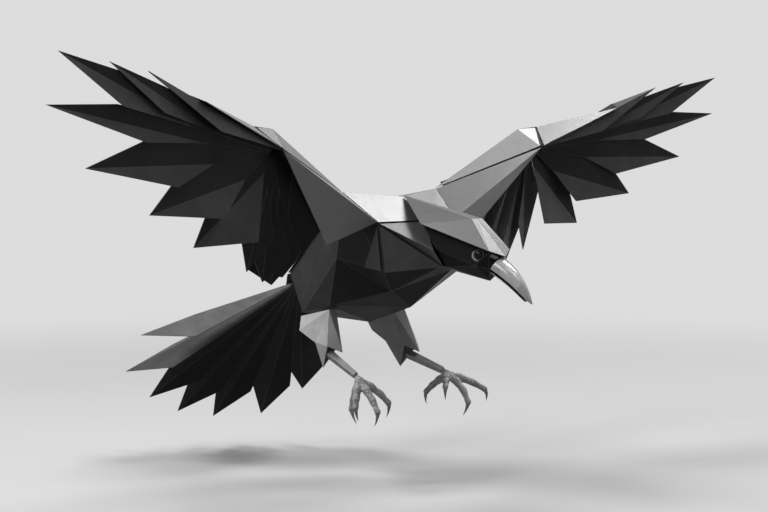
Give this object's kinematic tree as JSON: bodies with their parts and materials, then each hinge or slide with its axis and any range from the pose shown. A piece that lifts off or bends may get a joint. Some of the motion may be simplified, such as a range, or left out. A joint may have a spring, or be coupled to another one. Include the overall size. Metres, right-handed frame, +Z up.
{
  "type": "hanging paper raven",
  "caption": "Hanging raven folded from dark card, with raised pleated wing fans, a spread tail, a glossy beak, glass eyes and reaching clawed feet.",
  "frame": {"origin": "hanging point, in the middle of the back between the shoulders, on the outer face of the mantle", "axes": "+X to the bird's left wing, -Y forward along the head, +Z up along the line the raven hangs from"},
  "size_m": [0.601, 0.292, 0.2278],
  "materials": {
    "black_card": "satin charcoal card",
    "satin_card": "satin charcoal card with a sheen",
    "dark_card": "matte black card",
    "leg_card": "satin pale grey card",
    "eye_glass": "glossy dark glass",
    "beak_resin": "glossy grey",
    "claw_resin": "scaly grey with glossy claws"
  },
  "bodies": {
    "root": {"body_shell": "black_card", "tail_cover": "black_card", "mantle": "satin_card", "crown": "satin_card", "head_shell": "dark_card", "arm_front_left": "satin_card", "arm_back_left": "satin_card", "hand_cover_left": "satin_card", "collar_left": "satin_card", "nostril_flap_left": "satin_card", "breast_front_left": "black_card", "breast_rear_left": "black_card", "lead_feather_left": "black_card", "flight_feather_1_left": "black_card", "flight_feather_2_left": "black_card", "flight_feather_3_left": "black_card", "flight_feather_4_left": "black_card", "flight_feather_5_left": "black_card", "flight_feather_6_left": "black_card", "flight_feather_7_left": "black_card", "inner_feather_1_left": "black_card", "inner_feather_2_left": "black_card", "inner_feather_3_left": "black_card", "eye_left": "eye_glass", "thigh_left": "leg_card", "shank_left": "leg_card", "foot_left": "claw_resin", "arm_front_right": "satin_card", "arm_back_right": "satin_card", "hand_cover_right": "satin_card", "collar_right": "satin_card", "nostril_flap_right": "satin_card", "breast_front_right": "black_card", "breast_rear_right": "black_card", "lead_feather_right": "black_card", "flight_feather_1_right": "black_card", "flight_feather_2_right": "black_card", "flight_feather_3_right": "black_card", "flight_feather_4_right": "black_card", "flight_feather_5_right": "black_card", "flight_feather_6_right": "black_card", "flight_feather_7_right": "black_card", "inner_feather_1_right": "black_card", "inner_feather_2_right": "black_card", "inner_feather_3_right": "black_card", "eye_right": "eye_glass", "thigh_right": "leg_card", "shank_right": "leg_card", "foot_right": "claw_resin", "tail_feather_1": "black_card", "tail_feather_2": "black_card", "tail_feather_3": "black_card", "tail_feather_4": "black_card", "tail_feather_5": "black_card", "tail_feather_6": "black_card", "tail_feather_7": "black_card", "upper_beak": "beak_resin", "lower_beak": "beak_resin"}
  },
  "joints": []
}
